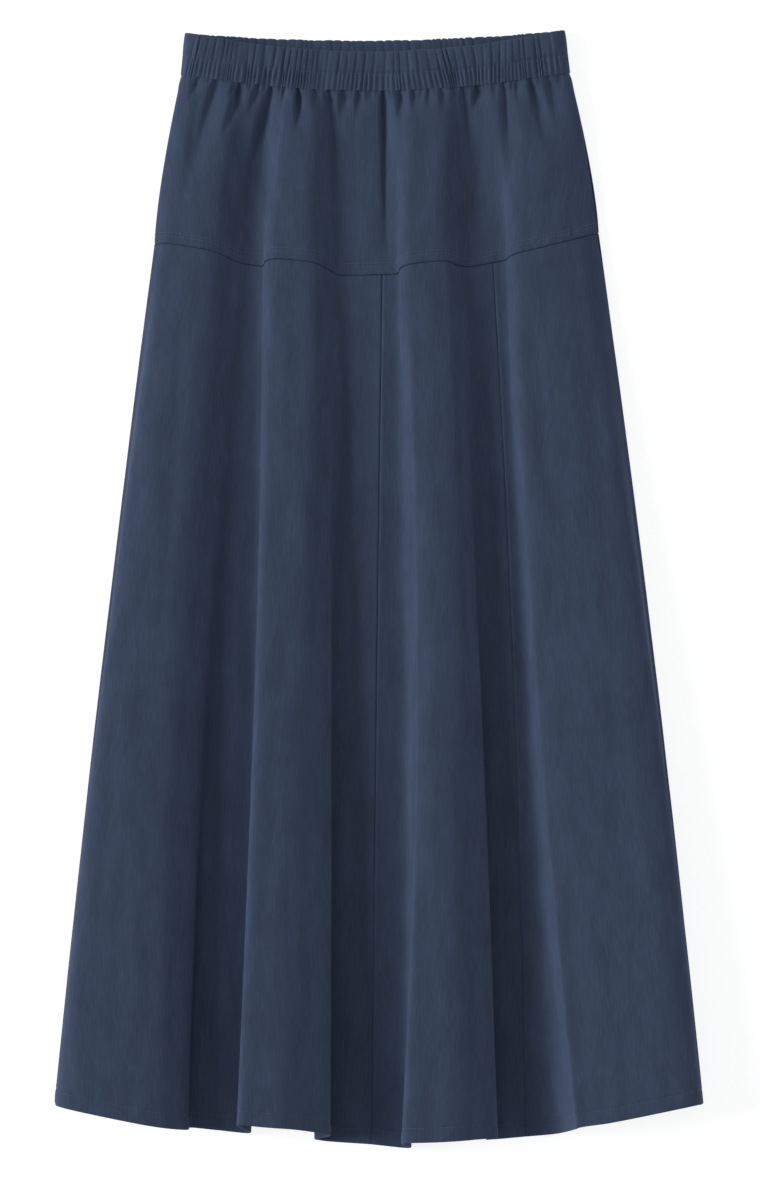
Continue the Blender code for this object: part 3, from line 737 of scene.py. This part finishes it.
def panel_cut(grid, fullness=1.0):
    """Width, length and area of the smooth panel under a grid of points. fullness is how much wider the
    cloth is before it is gathered."""
    across = arc_length(grid)[:, -1]
    down = arc_length(grid.transpose(1, 0, 2))[:, -1]
    heights = np.linalg.norm(np.diff(grid[:, grid.shape[1] // 2], axis=0), axis=1)
    area = ((across[1:] + across[:-1]) / 2 * heights).sum()
    return fullness * across.max(), down.max(), fullness * area


# ---- Materials ----
def linear(code):
    """Linear colour of an sRGB hex value."""
    parts = [int(code[at : at + 2], 16) / 255 for at in (1, 3, 5)]
    return [part / 12.92 if part <= 0.04045 else ((part + 0.055) / 1.055) ** 2.4 for part in parts]


def join(node, links):
    """Links sockets of a node, by name or number, to other nodes or to their outputs."""
    for at, source in links.items():
        output = source.outputs[0] if hasattr(source, "outputs") else source
        node.id_data.links.new(output, node.inputs[at])


def add_node(tree, kind, settings=None, links=None):
    """Adds a node. settings are its properties, or its sockets by name or number."""
    node = tree.nodes.new(kind)
    for key, value in (settings or {}).items():
        if isinstance(key, int) or key in node.inputs:
            node.inputs[key].default_value = value
        else:
            setattr(node, key, value)
    join(node, links or {})
    return node


def new_material(name, sockets):
    """A material, its nodes and its main shader with some of its sockets set."""
    material = bpy.data.materials.new(name)
    material.use_nodes = True
    shader = material.node_tree.nodes["Principled BSDF"]
    for key, value in sockets.items():
        shader.inputs[key].default_value = value
    return material, material.node_tree, shader


def shades(tree, share, dark, light):
    """The colour at a share of the way from a dark shade to a light one."""
    settings = {"data_type": "RGBA", 6: (*dark, 1), 7: (*light, 1)}
    return add_node(tree, "ShaderNodeMix", settings, {0: share}).outputs[2]


def woven_cloth(name, cloth):
    """Piece-dyed linen and cotton in a plain weave: matt, with uneven threads that show as short upright
    slubs, a faint heather and a soft bloom of fibre at grazing light. Real threads are about 0.45 mm apart,
    and are drawn further apart so that they show."""
    finish = {"IOR": 1.47, "Specular IOR Level": 0.2, "Sheen Weight": 0.02, "Sheen Roughness": 0.5}
    finish["Sheen Tint"] = (*linear("#8FA0C0"), 1)
    material, tree, shader = new_material(name, finish)
    place = add_node(tree, "ShaderNodeUVMap", {"uv_map": "Grain"})

    def scaled(scale, start=0):
        settings = {"Scale": (*scale, 1), "Location": (start, start, 0)}
        return add_node(tree, "ShaderNodeMapping", settings, {"Vector": place})

    def ranged(source, low, high, least, most):
        settings = {"From Min": low, "From Max": high, "To Min": least, "To Max": most}
        return add_node(tree, "ShaderNodeMapRange", settings, {"Value": source})

    def noise(marks):
        settings = {"Scale": 1.0, "Detail": marks.detail, "Roughness": 0.55}
        place_in_noise = scaled((1 / marks.wide, 1 / marks.long), marks.start)
        source = add_node(tree, "ShaderNodeTexNoise", settings, {"Vector": place_in_noise})
        return ranged(source, marks.low, marks.high, marks.least, marks.most)

    def threads(direction):
        source = scaled([1 / cloth.thread_pitch] * 2)
        wave = {"wave_type": "BANDS", "bands_direction": direction, "Scale": ONE_WAVE}
        wave.update({"Distortion": 0.9, "Detail": 1.0})
        return add_node(tree, "ShaderNodeTexWave", wave, {"Vector": source}).outputs[1]

    def combined(first, second, operation="ADD"):
        return add_node(tree, "ShaderNodeMath", {"operation": operation}, {0: first, 1: second})

    warp, weft, heather, mottle = (noise(marks) for marks in CLOTH_MARKS)
    shade = combined(combined(warp, weft), combined(heather, mottle))
    plain = {"operation": "ADD", 1: CLOTH_TONE, "use_clamp": True}
    tone = add_node(tree, "ShaderNodeMath", plain, {0: shade})
    join(shader, {"Base Color": shades(tree, tone, cloth.dark, cloth.light)})
    weave = combined(threads("X"), threads("Y"), "MULTIPLY")
    height = combined(combined(weave, warp), weft)
    bump = add_node(tree, "ShaderNodeBump", {"Strength": 0.35, "Distance": 0.00016}, {"Height": height})
    join(shader, {"Normal": bump, "Roughness": ranged(shade, -0.2, 0.5, 0.93, 0.84)})
    return material


def sewing_thread(name, colour):
    """Spun polyester sewing thread: slightly glossier than the cloth, with the ply's twist across it."""
    material, tree, shader = new_material(name, {"Roughness": 0.62, "IOR": 1.5})
    place = add_node(tree, "ShaderNodeTexCoord").outputs["Object"]
    scaled = add_node(tree, "ShaderNodeMapping", {"Scale": (1800, 1100, 1100)}, {"Vector": place})
    twist = add_node(tree, "ShaderNodeTexNoise", {"Scale": 1.0, "Detail": 1.0}, {"Vector": scaled})
    dark, light = ([part * share for part in colour] for share in PLY_SHADES)
    join(shader, {"Base Color": shades(tree, twist, dark, light)})
    bump = add_node(tree, "ShaderNodeBump", {"Strength": 0.3, "Distance": 0.0001}, {"Height": twist})
    join(shader, {"Normal": bump})
    return material


def light_table(name, colour, glow):
    """A matt pale table top that is lit from below, so that the shadows on it stay light."""
    finish = {"Base Color": (*colour, 1), "Roughness": 0.9, "Specular IOR Level": 0.1}
    return new_material(name, {**finish, "Emission Color": (1, 1, 1, 1), "Emission Strength": glow})[0]


def cloth_of(settings, name="linen_cotton_plain_weave"):
    """The skirt's cloth, made once."""
    return bpy.data.materials.get(name) or woven_cloth(name, settings)


# ---- Stitching ----
def stitch_rings(surface, height):
    """The rings of points of a row of stitches that runs along a surface, height above its lower edge."""
    row = np.interp(-height, -surface.heights, np.arange(len(surface.heights)))
    at, share = int(row), row % 1
    line, normals = (blend(grid[at], grid[at + 1], share) for grid in surface[:2])
    run = arc_length(line[None])[0]
    starts = np.arange(STITCH_APART, run[-1] - 2 * STITCH_APART, STITCH_APART)
    along, thick, rise = (np.array(column)[:, None] for column in zip(*STITCH_RINGS))
    places = starts[:, None] + along[:, 0] * STITCH_LONG
    centres, outward = (
        np.stack([np.interp(places, run, column) for column in grid.T], axis=-1) for grid in (line, normals)
    )
    forward = centres[:, -1:] - centres[:, :1]
    sideways = np.cross(forward / np.linalg.norm(forward, axis=2, keepdims=True), outward)
    angles = np.linspace(0, 2 * np.pi, STITCH_SIDES, endpoint=False)
    across = thick / 2 * np.cos(angles) * STITCH_THICK
    out = (thick / 2 * np.sin(angles) + rise) * STITCH_THICK - STITCH_SINK
    rings = centres[:, :, None] + across[..., None] * sideways[:, :, None]
    rings += out[..., None] * outward[:, :, None]
    rings[..., 2] = np.maximum(rings[..., 2], 0)
    return rings


def stitch_piece(name, rings, material):
    """One piece from rows of stitches, each with its own closed ends."""
    count = len(STITCH_RINGS) * STITCH_SIDES
    number = np.arange(count).reshape(len(STITCH_RINGS), STITCH_SIDES)
    beside = np.roll(number, -1, axis=1)
    sides = np.stack([number[:-1], beside[:-1], beside[1:], number[1:]], axis=-1).reshape(-1, 4).tolist()
    faces = [*sides, number[0, ::-1].tolist(), number[-1].tolist()]
    everything = [[at + stitch * count for at in face] for stitch in range(len(rings)) for face in faces]
    sewn(name, rings.reshape(-1, 3), everything, material)


# ---- Settings ----
class SkirtCloth(bpy.types.PropertyGroup):
    """Sizes and colours of the cloth and the thread."""

    wall: FloatProperty(name="Wall", description="Thickness of one layer", default=1.1 * MM, unit="LENGTH")
    hem_wall: FloatProperty(
        name="Hem wall", description="Thickness of the turned hem", default=2.0 * MM, unit="LENGTH"
    )
    thread_pitch: FloatProperty(
        name="Thread pitch", description="From one drawn thread to the next", default=1.1 * MM, unit="LENGTH"
    )
    dark: FloatVectorProperty(
        name="Dark", description="Darkest shade of the cloth", default=linear("#2F394B"), subtype="COLOR"
    )
    light: FloatVectorProperty(
        name="Light", description="Lightest shade of the cloth", default=linear("#4B5A76"), subtype="COLOR"
    )
    thread: FloatVectorProperty(
        name="Thread", description="Colour of the stitching", default=linear("#4B5972"), subtype="COLOR"
    )


class SkirtGathers(bpy.types.PropertyGroup):
    """How strongly the cloth is gathered and rumpled."""

    band: FloatProperty(name="Waistband", description="Share of its gathers", default=1.0, subtype="FACTOR")
    yoke: FloatProperty(name="Yoke", description="Share of its creases' depth", default=1.0, subtype="FACTOR")
    rumple: FloatProperty(name="Rumple", description="Share of the rumples", default=1.0, subtype="FACTOR")


class SkirtStage(bpy.types.PropertyGroup):
    """The table, the light and the camera."""

    table: FloatProperty(name="Table", description="Side of the table top", default=24.0, unit="LENGTH")
    table_colour: FloatVectorProperty(
        name="Table top", description="Colour of the table top", default=linear("#95979A"), subtype="COLOR"
    )
    glow: FloatProperty(name="Glow", description="Light from the table top itself", default=0.84)
    key: FloatProperty(name="Strip lights", description="Strength of the two strip lights", default=2.95)
    fill: FloatProperty(name="Fill light", description="Strength of the light all round", default=0.36)
    height: FloatProperty(name="Height", description="Camera above the table", default=3.0, unit="LENGTH")
    view: FloatProperty(name="View", description="Length of table in view", default=1.02, unit="LENGTH")


# ---- Pieces ----
def band_rows(shares):
    """The numbers of BAND_ROWS at each share of the way down, as columns."""
    marks, *fields = np.transpose(BAND_ROWS)
    return BandRow(*(np.interp(shares, marks, field)[:, None] for field in (marks, *fields)))


class SKIRT_OT_waistband(bpy.types.Operator):
    """Makes the front and back of the gathered waistband with its stitched channel."""

    bl_idname = "skirt.waistband"
    bl_label = "Waistband"

    def execute(self, context):
        settings, strength = context.scene.skirt_cloth, context.scene.skirt_gathers.band
        for side, pitch in BAND_PITCH.items():
            shares = graded(BAND_LONG, pitch.down) / BAND_LONG
            rows, from_top = band_rows(shares), shares[:, None] * BAND_LONG
            folds, rest = rows.folds[:, 0], BACK_BAND_OUTSIDE
            points, normals, _ = half_tube(side, BAND, shares, folds, rest, pitch.across)
            run, down = arc_length(points), arc_length(points.transpose(1, 0, 2)).T
            width = run[-1, -1]
            wide, fine = gathered(run, down, rows.share)
            relief = (rows.gathers * wide + rows.ribs * fine) * strength
            relief += dipped(from_top - CHANNEL_STITCH * BAND_LONG, BAND_DIP)
            top = rounded(from_top, 1.0)
            half = rows.half * top
            points[..., 1] += SCALLOPS[side] * (wide - SCALLOP_MIDDLE) * bell(from_top, SCALLOP_FADE)
            if side == "front":
                outside, inside = half + relief, -half
            else:
                outside, inside = BACK_BAND_OUTSIDE * top, -half - BACK_BAND_RELIEF * relief
            heights = (1 - shares) * BAND_LONG
            outer, inner = wall_faces("waist", side, points, normals, heights, outside, inside)
            grain = np.stack([run - width / 2, down], axis=-1)
            flat = BAND_FULLNESS * width
            cut = flat, BAND_LONG, flat * BAND_LONG
            name = f"waistband_{side}"
            panel(f"{name}_cloth", [name], outer, inner, grain, cut, "gathered", settings)
        return {"FINISHED"}


class SKIRT_OT_yoke(bpy.types.Operator):
    """Makes the front and back hip yokes, with the creases that fall from the waistband."""

    bl_idname = "skirt.yoke"
    bl_label = "Yoke"

    def execute(self, context):
        settings, gathers = context.scene.skirt_cloth, context.scene.skirt_gathers
        half = settings.wall / MM / 2
        for side, pitch in YOKE_PITCH.items():
            shares = graded(YOKE_LONG, pitch.down) / YOKE_LONG
            points, normals, _ = half_tube(side, YOKE, shares, 1.0, half, pitch.across)
            x, run, whole = points[..., 0], arc_length(points), inland(points)
            down = np.broadcast_to((shares * YOKE_LONG)[:, None], x.shape)
            from_seam = YOKE_LONG - down
            wide, fine = gathered(run, BAND_LONG + down, 1.0)
            ribs = (BAND_ROWS[-1].gathers * wide + BAND_ROWS[-1].ribs * fine) * bell(down, RIBS_FADE)
            ribs += PUFF * (1 - bell(down, PUFF_START)) * bell(down - PUFF_START, PUFF_FADE)
            edge = dipped(from_seam, YOKE_EDGE) * whole + dipped(from_seam, YOKE_EDGE_DROP)
            relief = sum(dipped(from_seam - at, YOKE_DIPS[side]) for at in YOKE_STITCHES)
            soft = rumple(run, down, gathers.rumple)
            if side == "front":
                relief += ribs * gathers.band + edge + puckers(run, down, YOKE_PUCKERS) + soft
                creases = crease_depth(x, down) * whole + trough_depth(points, TROUGHS)
                relief = kept_clear(points, normals, relief - creases * gathers.yoke, 3 * half + FRONT_CLEAR)
            else:
                creases = BACK_CREASES * crease_depth(-x, down) + BACK_RIBS * ribs
                relief += BACK_EDGE * np.minimum(edge, 0) - creases * whole * gathers.yoke
                relief -= BACK_YOKE_RUMPLE * np.abs(soft)
            walls = (from_seam[:, 0], relief + half, relief - half)
            outer, inner = wall_faces("yoke", side, points, normals, *walls)
            grain = np.stack([run - run[:, -1:] / 2, down], axis=-1)
            nodes = [f"yoke_front_{name}" for name in GORE_NAMES] if side == "front" else ["yoke_back"]
            cut = panel_cut(points, YOKE_FULLNESS)
            panel(f"yoke_{side}_cloth", nodes, outer, inner, grain, cut, "gathered", settings)
        return {"FINISHED"}


class SKIRT_OT_gores(bpy.types.Operator):
    """Makes the eight flared gores with their seams, folds and hems."""

    bl_idname = "skirt.gores"
    bl_label = "Gores"

    def execute(self, context):
        settings, gathers = context.scene.skirt_cloth, context.scene.skirt_gathers
        half, hem_half = settings.wall / MM / 2, settings.hem_wall / MM / 2
        hem_rows = GORES_LONG - (HEM_TURN + np.array(HEM_ROWS))
        for side, pitch in GORE_PITCH.items():
            shares = np.unique(np.concatenate([graded(GORES_LONG, pitch.down), hem_rows])) / GORES_LONG
            points, normals, seams = half_tube(side, GORES, shares, 1.0, half, pitch.across)
            run = arc_length(points)
            run = run - run[:, seams[2] : seams[2] + 1]
            down = np.broadcast_to((shares * GORES_LONG)[:, None], run.shape)
            from_hem = GORES_LONG - down
            folded = 2 * (hem_half - half) * np.clip((HEM_TURN + HEM_STEP - from_hem) / HEM_STEP, 0, 1)
            soft = rumple(run, down, gathers.rumple)
            hem_dip = dipped(from_hem - HEM_STITCHES[0], HEM_DIP)
            relief = dipped(down, GORE_TOPS[side])
            if side == "front":
                relief += seam_grooves(points, seams) - trough_depth(points, TROUGHS)
                relief += soft + hem_dip + puckers(run, down, GORE_PUCKERS)
                ripples = ROPING.height * hills(run + ROPING_SLANT * down, down, ROPING)
                relief += ripples * bell(from_hem - HEM_MIDDLE, ROPING_WIDE)
                relief += dipped(from_hem - HEM_MIDDLE, HEM_SWELL)
                relief = kept_clear(points, normals, relief, 3 * half + 2 * folded + FRONT_CLEAR)
            else:
                relief += BACK_GROOVES * seam_grooves(points, seams) - trough_depth(points, BACK_TROUGHS)
                relief += BACK_HEM_DIP * hem_dip - BACK_GORE_RUMPLE * np.abs(soft)
            edge = rounded(from_hem, 1.0)
            walls = (from_hem[:, 0], relief + edge * half, relief - edge * (half + folded))
            outer, inner = wall_faces("hem", side, points, normals, *walls)
            names = GORE_NAMES if side == "front" else GORE_NAMES[::-1]
            for name, first, last in zip(names, seams, seams[1:]):
                part = slice(first, last + 1)
                across = run[:, part] - run[:, [(first + last + 1) // 2]] + GORE_GRAIN
                grain = np.stack([across, down[:, part]], axis=-1)
                gore = f"gore_{side}_{name}"
                nodes = [gore]
                if side == "front":
                    nodes = [f"{gore}_{number}" for number in range(1, GORE_LENGTHS + 1)]
                faces, cut = (outer[:, part], inner[:, part]), panel_cut(points[:, part])
                panel(f"{gore}_cloth", nodes, *faces, grain, cut, "laid", settings)
        return {"FINISHED"}


class SKIRT_OT_stitching(bpy.types.Operator):
    """Makes the rows of stitches of the waistband, the yoke and the hem, on the panels as they lie."""

    bl_idname = "skirt.stitching"
    bl_label = "Stitching"

    def execute(self, context):
        thread = sewing_thread("spun_polyester_thread", context.scene.skirt_cloth.thread)
        for tier, heights in (("waist", BAND_STITCHES), ("yoke", YOKE_STITCHES), ("hem", HEM_STITCHES)):
            surfaces = [SURFACES[tier, side] for side in ("front", "back")]
            rings = [stitch_rings(surface, height) for surface in surfaces for height in heights]
            stitch_piece(f"stitching_{tier}", np.concatenate(rings), thread)
        return {"FINISHED"}


class SKIRT_OT_stage(bpy.types.Operator):
    """Makes the table, the soft light and the camera."""

    bl_idname = "skirt.stage"
    bl_label = "Stage"

    def execute(self, context):
        settings = context.scene.skirt_stage
        half = settings.table / 2
        corners = [(-half, -half, 0), (half, -half, 0), (half, half, 0), (-half, half, 0)]
        mesh = bpy.data.meshes.new("stage_table")
        mesh.from_pydata(corners, [], [(0, 1, 2, 3)])
        top = light_table("frosted_acrylic_light_table", settings.table_colour, settings.glow)
        mesh.materials.append(top)
        placed("stage_table", mesh)
        for name, share, turn, rise in STRIP_LIGHTS:
            light = bpy.data.lights.new(name, "SUN")
            light.energy = settings.key * share
            light.angle = np.radians(STRIP_SPREAD)
            placed(name, light).rotation_euler = (0, np.radians(90 - rise), np.radians(turn))
        world = bpy.data.worlds.new("studio")
        world.use_nodes = True
        background = world.node_tree.nodes["Background"]
        background.inputs["Color"].default_value = (1, 1, 1, 1)
        background.inputs["Strength"].default_value = settings.fill
        context.scene.world = world
        camera = placed("camera", bpy.data.cameras.new("camera"))
        camera.location = (CAMERA_AT[0] * MM, CAMERA_AT[1] * MM, settings.height)
        camera.data.lens = SENSOR * settings.height / settings.view
        camera.data.clip_end = CAMERA_REACH
        context.scene.camera = camera
        context.scene.view_settings.view_transform = "Standard"
        return {"FINISHED"}


class SKIRT_PT_sidebar(bpy.types.Panel):
    """The skirt's settings and the steps that make it."""

    bl_idname = "SKIRT_PT_sidebar"
    bl_label = "Gored skirt"
    bl_space_type = "VIEW_3D"
    bl_region_type = "UI"
    bl_category = "Skirt"

    def draw(self, context):
        for group in (context.scene.skirt_cloth, context.scene.skirt_gathers, context.scene.skirt_stage):
            column = self.layout.column()
            for name in type(group).__annotations__:
                column.prop(group, name)
        for step in STEPS:
            self.layout.operator(step.bl_idname)


STEPS = (SKIRT_OT_stage, SKIRT_OT_waistband, SKIRT_OT_yoke, SKIRT_OT_gores, SKIRT_OT_stitching)
GROUPS = {"skirt_cloth": SkirtCloth, "skirt_gathers": SkirtGathers, "skirt_stage": SkirtStage}


def register():
    for part in (*GROUPS.values(), *STEPS, SKIRT_PT_sidebar):
        bpy.utils.register_class(part)
    for name, group in GROUPS.items():
        setattr(bpy.types.Scene, name, PointerProperty(type=group))


def unregister():
    for name in GROUPS:
        delattr(bpy.types.Scene, name)
    for part in reversed((*GROUPS.values(), *STEPS, SKIRT_PT_sidebar)):
        bpy.utils.unregister_class(part)


def main():
    register()
    bpy.ops.skirt.stage()
    bpy.ops.skirt.waistband()
    bpy.ops.skirt.yoke()
    bpy.ops.skirt.gores()
    bpy.ops.skirt.stitching()


if __name__ == "__main__":
    main()
